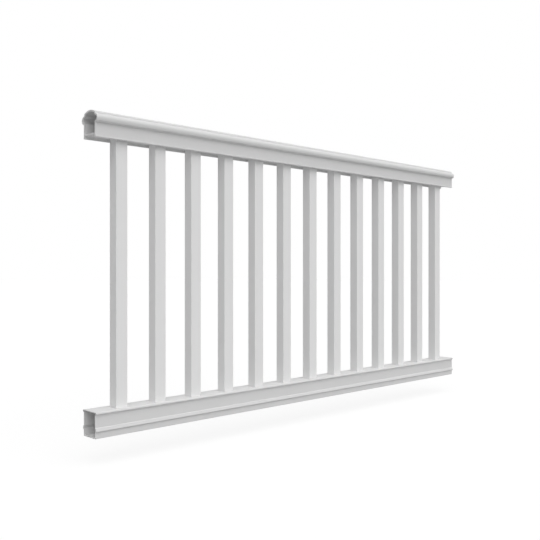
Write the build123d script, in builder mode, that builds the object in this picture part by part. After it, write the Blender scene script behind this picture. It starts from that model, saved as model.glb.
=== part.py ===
"""Vinyl railing section: two hollow moulded rails and a row of square balusters.

Frame: X runs along the rails from the left end, Y runs from the front to the back,
Z is up from the underside of the bottom rail. All sizes are in millimetres.
"""
import os

from build123d import *

# Whole section
LENGTH = 1828.8
OVERALL_HEIGHT = 928.4
RAIL_WIDTH = 63.5
RAIL_WALL = 2.8
CLEARANCE = 0.3
TOLERANCE = 0.01

# Balusters
BALUSTER_COUNT = 13
BALUSTER_WIDTH = 38.1
BALUSTER_DEPTH = 34.9
BALUSTER_CORNER = 1.0
BALUSTER_WALL = 1.8
BALUSTER_REACH = 25.0
END_TO_BALUSTER = 95.25

# Bottom rail
BOTTOM_HEIGHT = 75.0
BOTTOM_EDGE_RADIUS = 1.5
BEAD_FOOT = 16.8
BEAD_HEIGHT = 16.0
BEAD_PROUD = 5.2
LIP_PROUD = 5.5
LIP_NOSE = 6.5
LIP_UNDERCUT = 3.0
LIP_RADIUS = 3.5

# Top rail
TOP_HEIGHT = 79.4
HEM_PROUD = 1.0
HEM_HEIGHT = 7.3
HEM_RADIUS = 4.5
CHANNEL_WIDTH = 50.0
CHANNEL_DEPTH = 7.2
WEB_WALL = 5.0
ROLL_RADIUS = 8.2
ROLL_PROUD = 11.25
ROLL_DEPTH = 23.2
COVE_RADIUS = 3.5
DOME_WIDTH = 60.0
DOME_RADIUS = 60.0
SHOULDER_RADIUS = 4.0

# Places worked out from the sizes above
HALF = RAIL_WIDTH / 2
LIP_EDGE = HALF + LIP_PROUD
LIP_TIP = BOTTOM_HEIGHT - LIP_NOSE
TOP_RAIL_Z = OVERALL_HEIGHT - TOP_HEIGHT
WEB_Z = TOP_RAIL_Z + CHANNEL_DEPTH
HEM_EDGE = HALF + HEM_PROUD
DOME_EDGE = DOME_WIDTH / 2
DOME_EDGE_Z = OVERALL_HEIGHT - DOME_RADIUS + (DOME_RADIUS**2 - DOME_EDGE**2) ** 0.5
ROLL_Z = OVERALL_HEIGHT - ROLL_DEPTH
ROLL_CENTRE = HALF + ROLL_PROUD - ROLL_RADIUS
ROLL_FOOT_Z = ROLL_Z - (ROLL_RADIUS**2 - (ROLL_CENTRE - HALF) ** 2) ** 0.5
COVE_Z = ROLL_Z + (ROLL_RADIUS**2 - (ROLL_CENTRE - DOME_EDGE) ** 2) ** 0.5
PITCH = (LENGTH - 2 * END_TO_BALUSTER) / (BALUSTER_COUNT - 1)
BALUSTER_CENTRES = [(END_TO_BALUSTER + i * PITCH, 0) for i in range(BALUSTER_COUNT)]
BALUSTER_HEIGHT = WEB_Z + BALUSTER_REACH - RAIL_WALL
HOLE_WIDTH = BALUSTER_WIDTH + 2 * CLEARANCE
HOLE_DEPTH = BALUSTER_DEPTH + 2 * CLEARANCE
HOLE_CORNER = BALUSTER_CORNER + CLEARANCE

# A rectangle that stands on its own place
ON_BASE = (Align.CENTER, Align.MIN)

os.makedirs("parts", exist_ok=True)


def corners_at(profile, edge, height):
    """The two mirrored corners of a profile, this far out from its middle and at this height."""
    return [
        v
        for v in profile.vertices()
        if abs(abs(v.X) - edge) < TOLERANCE and abs(v.Y - height) < TOLERANCE
    ]


# Bottom rail: one hollow extrusion with a bead along each side and a top lip,
# routed through its top wall for the balusters
with BuildPart() as bottom_rail:
    with BuildSketch(Plane.YZ) as bottom_profile:
        with BuildLine():
            sole = Line((0, 0), (HALF, 0))
            lower_wall = Line(sole @ 1, (HALF, BEAD_FOOT))
            bead = ThreePointArc(
                lower_wall @ 1,
                (HALF + BEAD_PROUD, BEAD_FOOT + BEAD_HEIGHT / 2),
                (HALF, BEAD_FOOT + BEAD_HEIGHT),
            )
            upper_wall = Line(bead @ 1, (HALF, LIP_TIP - LIP_UNDERCUT))
            undercut = Line(upper_wall @ 1, (LIP_EDGE, LIP_TIP))
            nose = Line(undercut @ 1, (LIP_EDGE, BOTTOM_HEIGHT))
            Line(nose @ 1, (0, BOTTOM_HEIGHT))
            mirror(about=Plane.YZ)
        make_face()
        fillet(corners_at(bottom_profile, HALF, 0), BOTTOM_EDGE_RADIUS)
        fillet(corners_at(bottom_profile, LIP_EDGE, BOTTOM_HEIGHT), LIP_RADIUS)
        offset(amount=-RAIL_WALL, mode=Mode.SUBTRACT)
    extrude(amount=LENGTH)
    with BuildSketch(Plane.XY.offset(BOTTOM_HEIGHT)):
        with Locations(*BALUSTER_CENTRES):
            RectangleRounded(HOLE_WIDTH, HOLE_DEPTH, HOLE_CORNER)
    extrude(amount=-2 * RAIL_WALL, mode=Mode.SUBTRACT)

bottom_rail.part.label = "bottom_rail"
export_step(bottom_rail.part, "parts/bottom_rail.step")

# Top rail: one hollow extrusion with a channel between two hems underneath, a roll along
# each side and a domed top, routed through the web above the channel for the balusters
with BuildPart() as top_rail:
    with BuildSketch(Plane.YZ) as top_profile:
        with BuildLine():
            base = Line((0, TOP_RAIL_Z), (HEM_EDGE, TOP_RAIL_Z))
            hem = Line(base @ 1, (HEM_EDGE, TOP_RAIL_Z + HEM_HEIGHT))
            hem_slope = Line(hem @ 1, (HALF, TOP_RAIL_Z + HEM_HEIGHT + HEM_PROUD))
            wall = Line(hem_slope @ 1, (HALF, ROLL_FOOT_Z))
            roll = ThreePointArc(wall @ 1, (HALF + ROLL_PROUD, ROLL_Z), (DOME_EDGE, COVE_Z))
            side = Line(roll @ 1, (DOME_EDGE, DOME_EDGE_Z))
            mirror(about=Plane.YZ)
            ThreePointArc(side @ 1, (0, OVERALL_HEIGHT), (-DOME_EDGE, DOME_EDGE_Z))
        make_face()
        fillet(corners_at(top_profile, HEM_EDGE, TOP_RAIL_Z), HEM_RADIUS)
        fillet(corners_at(top_profile, DOME_EDGE, COVE_Z), COVE_RADIUS)
        fillet(corners_at(top_profile, DOME_EDGE, DOME_EDGE_Z), SHOULDER_RADIUS)
        offset(amount=-RAIL_WALL, mode=Mode.SUBTRACT)
        with Locations((0, TOP_RAIL_Z + RAIL_WALL)):
            Rectangle(RAIL_WIDTH - RAIL_WALL, CHANNEL_DEPTH + WEB_WALL - RAIL_WALL, align=ON_BASE)
        with Locations((0, TOP_RAIL_Z)):
            Rectangle(CHANNEL_WIDTH, CHANNEL_DEPTH, align=ON_BASE, mode=Mode.SUBTRACT)
    extrude(amount=LENGTH)
    with BuildSketch(Plane.XY.offset(WEB_Z)):
        with Locations(*BALUSTER_CENTRES):
            RectangleRounded(HOLE_WIDTH, HOLE_DEPTH, HOLE_CORNER)
    extrude(amount=2 * WEB_WALL, mode=Mode.SUBTRACT)

top_rail.part.label = "top_rail"
export_step(top_rail.part, "parts/top_rail.step")

# Balusters: hollow square tubes that stand on the bottom rail's inside floor
# and reach up into the hollow of the top rail
for number, centre in enumerate(BALUSTER_CENTRES, start=1):
    with BuildPart() as baluster:
        with BuildSketch(Plane.XY.offset(RAIL_WALL)):
            with Locations(centre):
                RectangleRounded(BALUSTER_WIDTH, BALUSTER_DEPTH, BALUSTER_CORNER)
            offset(amount=-BALUSTER_WALL, mode=Mode.SUBTRACT)
        extrude(amount=BALUSTER_HEIGHT)
    baluster.part.label = f"baluster_{number:02d}"
    export_step(baluster.part, f"parts/baluster_{number:02d}.step")
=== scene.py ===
"""White vinyl railing section: two moulded hollow rails, thirteen tube balusters and a pale studio."""
import logging
import math
from dataclasses import dataclass
from enum import Enum
from typing import Any, Iterable, Sequence

import bmesh
import bpy
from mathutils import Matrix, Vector


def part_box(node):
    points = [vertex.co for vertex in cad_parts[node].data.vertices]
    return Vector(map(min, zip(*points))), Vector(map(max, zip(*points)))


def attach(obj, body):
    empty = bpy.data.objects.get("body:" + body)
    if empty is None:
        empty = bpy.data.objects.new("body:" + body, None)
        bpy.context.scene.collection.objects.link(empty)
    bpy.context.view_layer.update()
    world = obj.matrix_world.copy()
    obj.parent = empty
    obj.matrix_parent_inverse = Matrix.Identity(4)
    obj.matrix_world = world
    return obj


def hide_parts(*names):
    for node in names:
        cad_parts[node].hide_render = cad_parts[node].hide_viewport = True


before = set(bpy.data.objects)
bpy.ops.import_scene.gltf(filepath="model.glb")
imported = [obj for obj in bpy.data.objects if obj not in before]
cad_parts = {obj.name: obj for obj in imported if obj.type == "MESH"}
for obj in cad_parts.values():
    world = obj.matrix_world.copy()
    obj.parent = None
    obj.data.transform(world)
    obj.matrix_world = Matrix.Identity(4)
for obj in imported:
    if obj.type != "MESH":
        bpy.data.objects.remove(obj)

LOG = logging.getLogger("railing")
BODY = "root"
WHITE = (1.0, 1.0, 1.0, 1.0)

Point = tuple[float, float]
Loop = list[Point]
Triple = tuple[float, float, float]

# Tones of the vinyl. Rails and balusters are one white vinyl; the rails' tone is set darker than the
# balusters' as painted shade
RAIL_TONE_WITH_PAINTED_SHADE: Triple = (0.78, 0.78, 0.78)
BALUSTER_TONE: Triple = (0.90, 0.90, 0.90)

# Fineness of the meshes
WELD = 0.00002
SHARP_ANGLE = math.radians(28.0)
ARC_STEP = math.radians(7.5)
ARC_LEAST_STEPS = 2


class Slot(Enum):
    """Material slots of the record."""

    RAIL = "rail_vinyl"
    BALUSTER = "baluster_vinyl"


class Grain(Enum):
    """Axis along which a profile came out of its die."""

    ALONG_RAIL = (1.0, 0.0, 0.0)
    ALONG_BALUSTER = (0.0, 0.0, 1.0)

    def drawn_out(self, factor: float) -> tuple[float, ...]:
        """The factor of each axis: the given one along the grain, and 1 across it."""
        return tuple(factor if part else 1.0 for part in self.value)


class Wire:
    """An output socket of a node sheet. Arithmetic on it adds Math nodes to that sheet."""

    def __init__(self, sheet: "NodeSheet", socket: bpy.types.NodeSocket) -> None:
        """Wraps one output socket of a sheet."""
        self.sheet = sheet
        self.socket = socket

    def _math(self, operation: str, first: "Value", second: "Value") -> "Wire":
        """Adds one Math node.

        Args:
            operation: Blender's name for the operation.
            first: Left operand.
            second: Right operand.

        Returns:
            The node's result.
        """
        return self.sheet.add("ShaderNodeMath", {"operation": operation}, {0: first, 1: second})["Value"]

    def __add__(self, other: "Value") -> "Wire":
        """Sum."""
        return self._math("ADD", self, other)

    __radd__ = __add__

    def __sub__(self, other: "Value") -> "Wire":
        """Difference."""
        return self._math("SUBTRACT", self, other)

    def __rsub__(self, other: "Value") -> "Wire":
        """Difference with the wire on the right."""
        return self._math("SUBTRACT", other, self)

    def __mul__(self, other: "Value") -> "Wire":
        """Product."""
        return self._math("MULTIPLY", self, other)

    __rmul__ = __mul__

    def __pow__(self, other: "Value") -> "Wire":
        """Power."""
        return self._math("POWER", self, other)

    def __rpow__(self, other: "Value") -> "Wire":
        """Power with the wire as the exponent."""
        return self._math("POWER", other, self)

    def __lt__(self, other: "Value") -> "Wire":
        """One where the wire is lower, or else zero."""
        return self._math("LESS_THAN", self, other)

    def __gt__(self, other: "Value") -> "Wire":
        """One where the wire is higher, or else zero."""
        return self._math("GREATER_THAN", self, other)

    def at_least(self, other: "Value") -> "Wire":
        """The higher of two values."""
        return self._math("MAXIMUM", self, other)


Value = Wire | float | Sequence[float] | list[Wire] | bpy.types.Material


class Outputs:
    """The outputs of one node, by socket name."""

    def __init__(self, sheet: "NodeSheet", node: bpy.types.Node) -> None:
        """Keeps the node and the sheet that it stands on."""
        self.sheet = sheet
        self.node = node

    def __getitem__(self, name: str) -> Wire:
        """The wire from the enabled output of that name."""
        named = [s for s in self.node.outputs if s.name == name and s.enabled]
        return Wire(self.sheet, named[0])


class NodeSheet:
    """A node tree that is filled by add()."""

    def __init__(self, tree: bpy.types.NodeTree) -> None:
        """Starts from an empty tree."""
        self.tree = tree
        self.tree.nodes.clear()

    def add(self, kind: str, settings: dict[str, Any] | None = None,
            sockets: dict[str | int, Value] | None = None) -> Outputs:
        """Adds any node.

        Args:
            kind: Blender's type name of the node.
            settings: The node's own properties, set before its sockets.
            sockets: Values or wires for its inputs, by name or by place.

        Returns:
            The node's outputs.
        """
        node = self.tree.nodes.new(kind)
        for name, value in (settings or {}).items():
            setattr(node, name, value)
        for key, value in (sockets or {}).items():
            socket = node.inputs[key] if isinstance(key, int) else self._enabled(node, key)
            for wire in value if isinstance(value, list) else [value]:
                if isinstance(wire, Wire):
                    self.tree.links.new(wire.socket, socket)
                else:
                    socket.default_value = wire
        return Outputs(self, node)

    def grey(self, level: Wire) -> Wire:
        """A grey colour of that level."""
        sockets = {"Red": level, "Green": level, "Blue": level}
        return self.add("ShaderNodeCombineColor", None, sockets)["Color"]

    @staticmethod
    def _enabled(node: bpy.types.Node, name: str) -> bpy.types.NodeSocket:
        """The enabled input of that name."""
        return next(s for s in node.inputs if s.name == name and s.enabled)


class ShapeRecipe(NodeSheet):
    """A Geometry Nodes tree with named sizes, run once and left as a plain mesh."""

    KINDS = {int: "NodeSocketInt", float: "NodeSocketFloat", bpy.types.Material: "NodeSocketMaterial"}

    def __init__(self, name: str) -> None:
        """Starts a tree with a geometry input and output.

        Args:
            name: Name of the tree.
        """
        super().__init__(bpy.data.node_groups.new(name, "GeometryNodeTree"))
        self.values: dict[str, Any] = {}
        self.tree.interface.new_socket("Geometry", in_out="INPUT", socket_type="NodeSocketGeometry")
        self.tree.interface.new_socket("Geometry", in_out="OUTPUT", socket_type="NodeSocketGeometry")
        self.given = self.add("NodeGroupInput")

    def size(self, name: str, value: int | float | bpy.types.Material) -> Wire:
        """Adds a named input and the value that the modifier gives it.

        Args:
            name: Name of the input.
            value: What it is set to.

        Returns:
            The input inside the tree.
        """
        kind = next(k for t, k in self.KINDS.items() if isinstance(value, t))
        self.tree.interface.new_socket(name, in_out="INPUT", socket_type=kind)
        self.values[name] = value
        return self.given[name]

    def vector(self, x: Value = 0.0, y: Value = 0.0, z: Value = 0.0) -> Wire:
        """A vector from three values."""
        return self.add("ShaderNodeCombineXYZ", None, {"X": x, "Y": y, "Z": z})["Vector"]

    def rounded_section(self, width: Value, depth: Value, corner: Value, steps: int) -> Wire:
        """A closed rectangle with rounded corners, as a curve.

        Args:
            width: Size along X.
            depth: Size along Y.
            corner: Radius of the corners.
            steps: Straight pieces in each corner.

        Returns:
            The curve.
        """
        plain = self.add("GeometryNodeCurvePrimitiveQuadrilateral", None, {"Width": width, "Height": depth})
        return self.add("GeometryNodeFilletCurve", {"mode": "POLY"},
                        {"Curve": plain["Curve"], "Count": steps, "Radius": corner})["Curve"]

    def joined(self, *parts: Wire) -> Wire:
        """Several geometries as one."""
        return self.add("GeometryNodeJoinGeometry", None, {"Geometry": list(parts)})["Geometry"]

    def upright(self, section: Wire, height: Value) -> Wire:
        """A closed solid that stands on a section.

        Args:
            section: Curves in the ground plane, an outline with or without a bore.
            height: How far it rises.

        Returns:
            The solid.
        """
        face = self.add("GeometryNodeFillCurve", {"mode": "NGONS"}, {"Curve": section})["Mesh"]
        risen = self.add("GeometryNodeExtrudeMesh", None,
                         {"Mesh": face, "Offset": self.vector(z=height), "Offset Scale": 1.0,
                          "Individual": False})["Mesh"]
        sole = self.add("GeometryNodeFlipFaces", None, {"Mesh": face})["Mesh"]
        return self.add("GeometryNodeMergeByDistance", None,
                        {"Geometry": self.joined(risen, sole), "Distance": WELD})["Geometry"]

    def row(self, piece: Wire, count: Value, pitch: Value, first: Value, height: Value) -> Wire:
        """Copies of a piece along X, made real.

        Args:
            piece: What is repeated.
            count: Number of copies.
            pitch: Distance from one to the next.
            first: Place of the first along X.
            height: Their level.

        Returns:
            The copies as one mesh.
        """
        places = self.add("GeometryNodeMeshLine", {"mode": "OFFSET"},
                          {"Count": count, "Start Location": self.vector(first, 0.0, height),
                           "Offset": self.vector(x=pitch)})["Mesh"]
        copies = self.add("GeometryNodeInstanceOnPoints", None, {"Points": places, "Instance": piece})
        return self.add("GeometryNodeRealizeInstances", None, {"Geometry": copies["Instances"]})["Geometry"]

    def run(self, name: str, shape: Wire, base: bpy.types.Mesh,
            material: bpy.types.Material) -> bpy.types.Object:
        """Ends the tree in a material and turns its result into a piece.

        Args:
            name: Name of the piece.
            shape: The finished geometry.
            base: Mesh that the tree starts from.
            material: Finish of the piece.

        Returns:
            The piece, as a plain mesh.
        """
        coated = self.add("GeometryNodeSetMaterial", None,
                          {"Geometry": shape, "Material": self.size("Finish", material)})["Geometry"]
        self.add("NodeGroupOutput", None, {"Geometry": coated})
        piece = bpy.data.objects.new(name, base)
        bpy.context.scene.collection.objects.link(piece)
        modifier = piece.modifiers.new("shape", "NODES")
        modifier.node_group = self.tree
        for item in self.tree.interface.items_tree:
            if item.in_out == "INPUT" and item.name in self.values:
                modifier[item.identifier] = self.values[item.name]
        settle(piece)
        return piece


def settle(piece: bpy.types.Object) -> None:
    """Replaces a piece's mesh and modifiers by the plain mesh that they make.

    Args:
        piece: The piece.
    """
    graph = bpy.context.evaluated_depsgraph_get()
    finished = bpy.data.meshes.new_from_object(piece.evaluated_get(graph), preserve_all_data_layers=True,
                                               depsgraph=graph)
    finished.name = piece.name
    piece.modifiers.clear()
    piece.data = finished


def smooth(piece: bpy.types.Object) -> None:
    """Shades round stretches smoothly and keeps flats flat and edges crisp.

    Args:
        piece: The piece, with no modifiers.
    """
    piece.data.shade_smooth()
    piece.data.set_sharp_from_angle(angle=SHARP_ANGLE)
    even = piece.modifiers.new("even", "WEIGHTED_NORMAL")
    even.keep_sharp = True
    settle(piece)


def arc(centre: Point, radius: float, start: float, end: float) -> Loop:
    """Points along a circular arc.

    Args:
        centre: Middle of the circle.
        radius: Its radius.
        start: Angle of the first point.
        end: Angle of the last point.

    Returns:
        Evenly spaced points with both ends.
    """
    steps = max(ARC_LEAST_STEPS, math.ceil(abs(end - start) / ARC_STEP))
    angles = [start + (end - start) * i / steps for i in range(steps + 1)]
    return [(centre[0] + radius * math.cos(a), centre[1] + radius * math.sin(a)) for a in angles]


def rounded(before: Point, corner: Point, after: Point, radius: float) -> Loop:
    """The arc that rounds a corner between two straight runs.

    Args:
        before: A point on the run that comes in.
        corner: Where the runs would meet.
        after: A point on the run that leaves.
        radius: Radius of the rounding.

    Returns:
        Points of the arc.
    """
    tip = Vector(corner)
    come = (Vector(before) - tip).normalized()
    leave = (Vector(after) - tip).normalized()
    half = come.angle(leave) / 2
    centre = tip + (come + leave).normalized() * radius / math.sin(half)
    first = tip + come * radius / math.tan(half) - centre
    last = tip + leave * radius / math.tan(half) - centre
    start = math.atan2(first.y, first.x)
    turn = math.remainder(math.atan2(last.y, last.x) - start, math.tau)
    return arc(tuple(centre), radius, start, start + turn)


def blend_to_arc(before: Point, corner: Point, centre: Point, radius: float, blend: float) -> Loop:
    """The rounding between a straight run and the arc that it meets, and that arc as far as its crest.

    Args:
        before: A point on the straight run.
        corner: Where the run meets the arc.
        centre: Middle of the arc's circle, below its crest.
        radius: Radius of the arc.
        blend: Radius of the rounding.

    Returns:
        Points of the rounding and of the arc.
    """
    run = (Vector(corner) - Vector(before)).normalized()
    inwards = Vector((-run.y, run.x))
    start = Vector(corner) + inwards * blend - Vector(centre)
    passed = start.dot(run)
    along = -passed + math.sqrt(passed**2 - start.length_squared + (radius - blend) ** 2)
    middle = start + run * along + Vector(centre)
    first = math.atan2(-inwards.y, -inwards.x)
    last = math.atan2(middle.y - centre[1], middle.x - centre[0])
    rounding = arc(tuple(middle), blend, first, last)
    return rounding + arc(centre, radius, last, math.pi / 2)[1:]


def mirrored(front: Iterable[Point]) -> Loop:
    """A closed loop from its front half, listed from the bottom to the top.

    Args:
        front: Points as distance out from the middle and height.

    Returns:
        Points in the plane across the rail, up the front and down the back.
    """
    half = list(front)
    return [(-out, up) for out, up in half] + [(out, up) for out, up in reversed(half) if out > WELD]


def inset(loop: Loop, distance: float) -> Loop:
    """A loop that runs inside another at an even distance.

    Args:
        loop: Points that go up the front and down the back.
        distance: How far inside; a negative one goes outside.

    Returns:
        Points of the new loop, without the runs that the distance uses up.
    """
    points = [Vector(p) for p in loop]
    runs = [(a, (b - a).normalized()) for a, b in zip(points, points[1:] + points[:1])]
    while True:
        moved = [(p + Vector((d.y, -d.x)) * distance, d) for p, d in runs]
        corners = []
        for (p, d), (q, e) in zip(moved[-1:] + moved[:-1], moved):
            along = (q - p).cross(e) / d.cross(e)
            corners.append(p + d * along)
        spans = zip(runs, corners, corners[1:] + corners[:1])
        kept = [run for run, a, b in spans if (b - a).dot(run[1]) > 0]
        if len(kept) == len(runs):
            return [tuple(c) for c in corners]
        runs = kept


@dataclass(frozen=True)
class Vinyl:
    """Satin white vinyl: faint lines from the die, slow drifts of tone and gloss, and matt saw-cut ends."""

    name: str
    grain: Grain
    cuts: tuple[float, float]
    tone: Triple
    sheen: float = 0.02
    roughness: float = 0.40
    line_roughness: float = 0.05
    drift_roughness: float = 0.07
    cut_roughness: float = 0.3
    base_shade: float = 0.98
    line_shade: float = 0.012
    drift_shade: float = 0.024
    cut_shade: float = 0.02
    mark_shade: float = 0.03
    line_scale: float = 650.0
    line_stretch: float = 0.003
    drift_scale: float = 7.0
    drift_stretch: float = 0.35
    mark_scale: float = 900.0
    mark_stretch: Triple = (1.0, 1.0, 0.04)
    noise_detail: float = 2.0
    cut_depth: float = 0.0004
    line_relief: float = 0.5
    bump_strength: float = 0.15
    bump_depth: float = 0.0001

    def material(self) -> bpy.types.Material:
        """Builds the material.

        Returns:
            The finished material.
        """
        material = bpy.data.materials.new(self.name)
        material.use_nodes = True
        sheet = NodeSheet(material.node_tree)
        place = sheet.add("ShaderNodeTexCoord")["Object"]
        lines = self.noise(sheet, place, self.grain.drawn_out(self.line_stretch), self.line_scale)
        drift = self.noise(sheet, place, self.grain.drawn_out(self.drift_stretch), self.drift_scale)
        marks = self.noise(sheet, place, self.mark_stretch, self.mark_scale)
        cut = self.saw_cut(sheet, place)
        dulled = cut * (self.cut_shade + self.mark_shade * marks)
        shade = self.base_shade + self.drift_shade * drift + self.line_shade * lines - dulled
        colour = sheet.add("ShaderNodeMix", {"data_type": "RGBA", "blend_type": "MULTIPLY"},
                           {"Factor": 1.0, "A": (*self.tone, 1.0), "B": sheet.grey(shade)})["Result"]
        gloss = self.roughness + self.line_roughness * lines + self.drift_roughness * drift
        relief = lines * (1.0 - cut) * self.line_relief + marks * cut
        bump = sheet.add("ShaderNodeBump", None,
                         {"Strength": self.bump_strength, "Distance": self.bump_depth,
                          "Height": relief})["Normal"]
        surface = sheet.add("ShaderNodeBsdfPrincipled", None,
                            {"Base Color": colour, "Roughness": gloss + self.cut_roughness * cut,
                             "Normal": bump, "Specular IOR Level": self.sheen})["BSDF"]
        sheet.add("ShaderNodeOutputMaterial", None, {"Surface": surface})
        return material

    def noise(self, sheet: NodeSheet, place: Wire, stretch: Sequence[float], scale: float) -> Wire:
        """Soft noise that is drawn out along some axes.

        Args:
            sheet: Sheet to add to.
            place: Object coordinates.
            stretch: Factor of each axis.
            scale: Waves in a metre, about.

        Returns:
            Height of the noise, from 0 to 1.
        """
        drawn = sheet.add("ShaderNodeVectorMath", {"operation": "MULTIPLY"}, {0: place, 1: stretch})
        return sheet.add("ShaderNodeTexNoise", None,
                         {"Vector": drawn["Vector"], "Scale": scale, "Detail": self.noise_detail})["Fac"]

    def saw_cut(self, sheet: NodeSheet, place: Wire) -> Wire:
        """One on the cut ends, zero along the profile.

        Args:
            sheet: Sheet to add to.
            place: Object coordinates.

        Returns:
            The mask.
        """
        along = sheet.add("ShaderNodeVectorMath", {"operation": "DOT_PRODUCT"},
                          {0: place, 1: self.grain.value})["Value"]
        low, high = self.cuts
        return (along < low + self.cut_depth).at_least(along > high - self.cut_depth)


@dataclass
class Rail:
    """A hollow rail of one profile, square-cut at both ends."""

    node: str
    wall: float = 0.0028
    saw_edge: float = 0.0003
    cutter_walls: int = 4

    def __post_init__(self) -> None:
        """Takes the rail's ends and levels from its solid."""
        low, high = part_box(self.node)
        self.left, self.right = low.x, high.x
        self.bottom, self.top = low.z, high.z

    def outlines(self) -> tuple[Loop, Loop]:
        """Outer and inner outlines."""
        raise NotImplementedError

    @property
    def routed_level(self) -> float:
        """Underside of the wall that is routed."""
        raise NotImplementedError

    @property
    def cutter_level(self) -> float:
        """Where the cutters of the routed holes start."""
        return self.routed_level - self.wall

    @property
    def cutter_height(self) -> float:
        """How tall the cutters of the routed holes are."""
        return self.cutter_walls * self.wall

    def tube(self) -> bpy.types.Mesh:
        """The plain hollow rail, with its saw-cut edges eased.

        Returns:
            A closed mesh.
        """
        shell = bmesh.new()
        ends: dict[float, list[bmesh.types.BMEdge]] = {self.left: [], self.right: []}
        for loop, eased in zip(self.outlines(), (self.saw_edge, -self.saw_edge)):
            cut = inset(loop, eased)
            stations = ((self.left, cut), (self.left + self.saw_edge, loop),
                        (self.right - self.saw_edge, loop), (self.right, cut))
            rings = [[shell.verts.new((x, y, z)) for y, z in ring] for x, ring in stations]
            for one, two in zip(rings, rings[1:]):
                for i in range(len(one)):
                    shell.faces.new((one[i - 1], one[i], two[i], two[i - 1]))
            for x, ring in ((self.left, rings[0]), (self.right, rings[-1])):
                ends[x] += [shell.edges.get((ring[i - 1], ring[i])) for i in range(len(ring))]
        for edges in ends.values():
            bmesh.ops.triangle_fill(shell, edges=edges, use_beauty=True)
        bmesh.ops.recalc_face_normals(shell, faces=shell.faces)
        mesh = bpy.data.meshes.new(self.node)
        shell.to_mesh(mesh)
        shell.free()
        return mesh


@dataclass
class BottomRail(Rail):
    """Bottom rail: flat sole, a leaning bead along each side and an overhanging lip."""

    node: str = "bottom_rail"
    width: float = 0.0635
    edge_radius: float = 0.0015
    bead_foot: float = 0.0188
    bead_height: float = 0.0122
    bead_proud: float = 0.0054
    bead_lean: float = 0.0034
    bead_ledge: float = 0.001
    bead_heel_radius: float = 0.003
    bead_brow_radius: float = 0.0015
    lip_proud: float = 0.0055
    lip_nose: float = 0.0053
    lip_undercut: float = 0.003
    lip_radius: float = 0.0035

    def outlines(self) -> tuple[Loop, Loop]:
        """Draws the bottom rail's profile.

        Returns:
            The outer outline and the inner one.
        """
        half = self.width / 2
        edge = half + self.lip_proud
        tip = self.top - self.lip_nose
        foot = (half, self.bottom + self.bead_foot)
        heel = (half + self.bead_proud, foot[1])
        brow = (heel[0] - self.bead_lean, foot[1] + self.bead_height - self.bead_ledge)
        crown = (half, foot[1] + self.bead_height)
        front = rounded((0.0, self.bottom), (half, self.bottom), (half, self.top), self.edge_radius)
        front += [foot, *rounded(foot, heel, brow, self.bead_heel_radius)]
        front += [*rounded(heel, brow, crown, self.bead_brow_radius), crown]
        front += [(half, tip - self.lip_undercut), (edge, tip)]
        front += rounded((edge, tip), (edge, self.top), (0.0, self.top), self.lip_radius)
        outer = mirrored(front)
        return outer, inset(outer, self.wall)

    @property
    def routed_level(self) -> float:
        """Underside of the wall that is routed."""
        return self.top - self.wall


@dataclass
class TopRail(Rail):
    """Top rail: two hems with a channel between them, a roll along each side and a domed top."""

    node: str = "top_rail"
    wall: float = 0.0046
    width: float = 0.0635
    channel_width: float = 0.050
    channel_depth: float = 0.0072
    web_wall: float = 0.005
    hem_proud: float = 0.001
    hem_height: float = 0.0042
    hem_radius: float = 0.0012
    roll_radius: float = 0.012
    roll_proud: float = 0.01125
    roll_depth: float = 0.0264
    roll_lean: float = math.radians(15.0)
    roll_foot: float = 0.0381
    roll_slope: float = 0.0032
    roll_heel_radius: float = 0.004
    cove_radius: float = 0.0035
    dome_width: float = 0.060
    dome_radius: float = 0.060
    shoulder_radius: float = 0.004

    def outlines(self) -> tuple[Loop, Loop]:
        """Draws the top rail's profile.

        Returns:
            The outer outline and the inner one.
        """
        half = self.width / 2
        channel = self.channel_width / 2
        hem = half + self.hem_proud
        hem_top = self.bottom + self.hem_height
        skirt = [(channel, self.routed_level), (channel, self.bottom)]
        skirt += rounded((channel, self.bottom), (hem, self.bottom), (hem, hem_top), self.hem_radius)
        skirt += [(hem, hem_top), (half, hem_top + self.hem_proud)]
        crown = self.crown(half)
        sill = self.routed_level + self.web_wall - self.wall
        return mirrored(skirt + crown), inset(mirrored([(half, sill)] + crown), self.wall)

    def crown(self, half: float) -> Loop:
        """Outline of the roll, the cove and the dome, from the wall to the crest.

        Args:
            half: Distance of the wall from the middle.

        Returns:
            Points of the front half.
        """
        dome = self.dome_width / 2
        roll = (half + self.roll_proud - self.roll_radius, self.top - self.roll_depth)
        reach = self.roll_radius + self.cove_radius
        brow = math.acos((dome + self.cove_radius - roll[0]) / reach)
        cove = (dome + self.cove_radius, roll[1] + reach * math.sin(brow))
        centre = (0.0, self.top - self.dome_radius)
        shoulder = (dome, centre[1] + math.sqrt(self.dome_radius**2 - dome**2))
        nose = arc(roll, self.roll_radius, -self.roll_lean, brow)
        foot = (half, self.top - self.roll_foot)
        drop = nose[0][1] - foot[1] - self.roll_slope
        heel = (nose[0][0] - drop * math.tan(self.roll_lean), foot[1] + self.roll_slope)
        points = [foot, *rounded(foot, heel, nose[0], self.roll_heel_radius), *nose]
        points += arc(cove, self.cove_radius, brow + math.pi, math.pi)[1:]
        return points + blend_to_arc(points[-1], shoulder, centre, self.dome_radius, self.shoulder_radius)

    @property
    def routed_level(self) -> float:
        """Underside of the web that is routed."""
        return self.bottom + self.channel_depth


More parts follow.
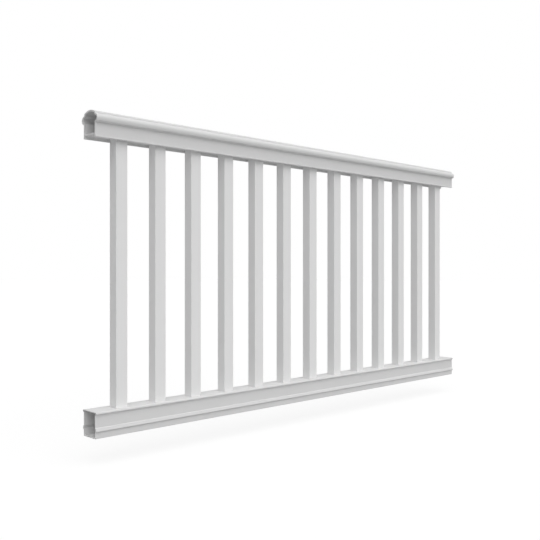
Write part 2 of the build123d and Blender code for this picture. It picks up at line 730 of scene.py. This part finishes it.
@dataclass
class Balusters:
    """Row of square tubes that pass through both rails."""

    width: float = 0.0381
    depth: float = 0.0349
    corner: float = 0.001
    wall: float = 0.0018
    clearance: float = 0.0003
    corner_steps: int = 4
    bore_corner: float = 0.0002
    bore_corner_steps: int = 1

    def __post_init__(self) -> None:
        """Takes the places of the balusters from their solids."""
        self.nodes = sorted(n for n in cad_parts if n.startswith("baluster"))
        boxes = [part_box(n) for n in self.nodes]
        middles = sorted((low.x + high.x) / 2 for low, high in boxes)
        self.count = len(middles)
        self.first = middles[0]
        self.pitch = (middles[-1] - middles[0]) / (self.count - 1)
        self.bottom = boxes[0][0].z
        self.top = boxes[0][1].z

    def repeated(self, recipe: ShapeRecipe, piece: Wire, level: float) -> Wire:
        """Copies of a piece, one at the place of each baluster.

        Args:
            recipe: Tree to add to.
            piece: What is repeated.
            level: Height of the copies.

        Returns:
            The copies as one mesh.
        """
        return recipe.row(piece, recipe.size("Count", self.count), recipe.size("Pitch", self.pitch),
                          recipe.size("First", self.first), recipe.size("Level", level))

    def build(self, finish: bpy.types.Material) -> bpy.types.Object:
        """Makes all the tubes as one piece.

        Args:
            finish: Vinyl of the tubes.

        Returns:
            The row of balusters.
        """
        recipe = ShapeRecipe("Baluster row")
        width = recipe.size("Width", self.width)
        depth = recipe.size("Depth", self.depth)
        corner = recipe.size("Corner radius", self.corner)
        wall = recipe.size("Wall", self.wall)
        outside = recipe.rounded_section(width, depth, corner, self.corner_steps)
        bore = recipe.rounded_section(width - 2 * wall, depth - 2 * wall, self.bore_corner,
                                      self.bore_corner_steps)
        tube = recipe.upright(recipe.joined(outside, bore), recipe.size("Length", self.top - self.bottom))
        row = self.repeated(recipe, tube, self.bottom)
        piece = recipe.run("balusters", row, bpy.data.meshes.new("balusters"), finish)
        smooth(piece)
        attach(piece, BODY)
        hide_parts(*self.nodes)
        return piece

    def rout(self, rail: Rail, finish: bpy.types.Material) -> bpy.types.Object:
        """Makes a rail with a routed hole for each baluster.

        Args:
            rail: The rail.
            finish: Vinyl of the rail.

        Returns:
            The finished rail.
        """
        recipe = ShapeRecipe(f"Routed {rail.node}")
        gap = recipe.size("Clearance", self.clearance)
        width = recipe.size("Baluster width", self.width) + 2 * gap
        depth = recipe.size("Baluster depth", self.depth) + 2 * gap
        corner = recipe.size("Baluster corner", self.corner) + gap
        section = recipe.rounded_section(width, depth, corner, self.corner_steps)
        cutter = recipe.upright(section, recipe.size("Cutter height", rail.cutter_height))
        cutters = self.repeated(recipe, cutter, rail.cutter_level)
        routed = recipe.add("GeometryNodeMeshBoolean", {"operation": "DIFFERENCE", "solver": "EXACT"},
                            {0: recipe.given["Geometry"], 1: cutters})["Mesh"]
        piece = recipe.run(f"moulded_{rail.node}", routed, rail.tube(), finish)
        smooth(piece)
        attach(piece, BODY)
        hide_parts(rail.node)
        return piece


@dataclass
class Studio:
    """Pale floor, broad soft lights and the camera of the photograph."""

    eye: Triple = (-1.0493, -1.8291, 0.4756)
    yaw: float = math.radians(43.88)
    focal_pixels: float = 722.04
    picture_pixels: float = 540.0
    horizon_lift_pixels: float = 0.3
    sensor: float = 36.0
    floor_level: float = -0.08
    floor_size: float = 60.0
    floor_tone: float = 0.49
    shown_tone: float = 0.9
    shown_share: float = 0.8
    shown_white: float = 1.06
    key_height: float = math.radians(56.0)
    key_bearing: float = math.radians(-103.0)
    key_level: float = 2.62
    key_focus: float = 3.5
    fill_height: float = math.radians(-30.0)
    fill_bearing: float = math.radians(90.0)
    fill_level: float = 1.23
    fill_focus: float = 1.0

    def camera(self) -> None:
        """Places the level camera."""
        data = bpy.data.cameras.new("camera")
        data.sensor_width = self.sensor
        data.lens = self.sensor * self.focal_pixels / self.picture_pixels
        data.shift_y = -self.horizon_lift_pixels / self.picture_pixels
        data.clip_end = 2 * self.floor_size
        camera = bpy.data.objects.new("camera", data)
        camera.location = self.eye
        camera.rotation_euler = (math.pi / 2, 0.0, -self.yaw)
        bpy.context.scene.collection.objects.link(camera)
        bpy.context.scene.camera = camera

    @staticmethod
    def seen_directly(sheet: NodeSheet) -> Wire:
        """One for camera, mirror and see-through rays, zero for the rays that light the part."""
        path = sheet.add("ShaderNodeLightPath")
        return path["Is Camera Ray"].at_least(path["Is Glossy Ray"]).at_least(path["Is Transmission Ray"])

    def floor(self) -> None:
        """Lays a pale floor that shows white and keeps the part's shadow."""
        half = self.floor_size / 2
        mesh = bpy.data.meshes.new("floor")
        corners = ((-half, -half), (half, -half), (half, half), (-half, half))
        mesh.from_pydata([(x, y, self.floor_level) for x, y in corners], [], [range(len(corners))])
        floor = bpy.data.objects.new("floor", mesh)
        bpy.context.scene.collection.objects.link(floor)
        material = bpy.data.materials.new("floor_paper")
        material.use_nodes = True
        sheet = NodeSheet(material.node_tree)
        direct = self.seen_directly(sheet)
        tone = self.floor_tone + (self.shown_tone - self.floor_tone) * direct
        paper = sheet.add("ShaderNodeBsdfDiffuse", None, {"Color": sheet.grey(tone)})
        white = sheet.add("ShaderNodeEmission", None, {"Color": WHITE, "Strength": self.shown_white})
        mix = sheet.add("ShaderNodeMixShader", None,
                        {0: direct * self.shown_share, 1: paper["BSDF"], 2: white["Emission"]})["Shader"]
        sheet.add("ShaderNodeOutputMaterial", None, {"Surface": mix})
        mesh.materials.append(material)

    @staticmethod
    def soft_light(sheet: NodeSheet, height: float, bearing: float, level: float, focus: float) -> Wire:
        """A broad light in the sky that falls off softly around its middle.

        Args:
            sheet: Sheet of the world.
            height: Angle of its middle above the floor.
            bearing: Angle of its middle around the part.
            level: Strength in its middle.
            focus: How fast it falls off.

        Returns:
            Its strength in each direction.
        """
        flat = math.cos(height)
        middle = (flat * math.cos(bearing), flat * math.sin(bearing), math.sin(height))
        direction = sheet.add("ShaderNodeTexCoord")["Generated"]
        facing = sheet.add("ShaderNodeVectorMath", {"operation": "DOT_PRODUCT"}, {0: direction, 1: middle})
        return level * facing["Value"].at_least(0.0) ** focus

    def sky(self) -> None:
        """A broad key light above the front and a fill from behind, with plain white behind the part."""
        world = bpy.data.worlds.new("studio")
        world.use_nodes = True
        bpy.context.scene.world = world
        sheet = NodeSheet(world.node_tree)
        key = self.soft_light(sheet, self.key_height, self.key_bearing, self.key_level, self.key_focus)
        fill = self.soft_light(sheet, self.fill_height, self.fill_bearing, self.fill_level, self.fill_focus)
        dome = sheet.add("ShaderNodeBackground", None, {"Color": WHITE, "Strength": key + fill})
        white = sheet.add("ShaderNodeBackground", None, {"Color": WHITE, "Strength": 1.0})
        direct = self.seen_directly(sheet)
        mix = sheet.add("ShaderNodeMixShader", None,
                        {0: direct, 1: dome["Background"], 2: white["Background"]})["Shader"]
        sheet.add("ShaderNodeOutputWorld", None, {"Surface": mix})

    def build(self) -> None:
        """Sets up the whole studio."""
        self.camera()
        self.floor()
        self.sky()
        bpy.context.scene.view_settings.view_transform = "Standard"


def main() -> None:
    """Builds the railing section and its studio, and logs the face count of each piece."""
    logging.basicConfig(level=logging.INFO, format="%(name)s: %(message)s")
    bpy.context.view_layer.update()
    balusters = Balusters()
    bottom = BottomRail()
    top = TopRail()
    rail_cuts = (bottom.left, bottom.right)
    tube_cuts = (balusters.bottom, balusters.top)
    # the rails' tone holds painted shade: it is darker than the balusters' tone of the same vinyl
    rail_vinyl = Vinyl("rail_vinyl_white", Grain.ALONG_RAIL, rail_cuts, RAIL_TONE_WITH_PAINTED_SHADE).material()
    tube_vinyl = Vinyl("baluster_vinyl_white", Grain.ALONG_BALUSTER, tube_cuts, BALUSTER_TONE).material()
    pieces = [balusters.rout(rail, rail_vinyl) for rail in (bottom, top)]
    pieces.append(balusters.build(tube_vinyl))
    for piece in pieces:
        LOG.info("%s: %d faces", piece.name, len(piece.data.polygons))
    Studio().build()


if __name__ == "__main__":
    main()
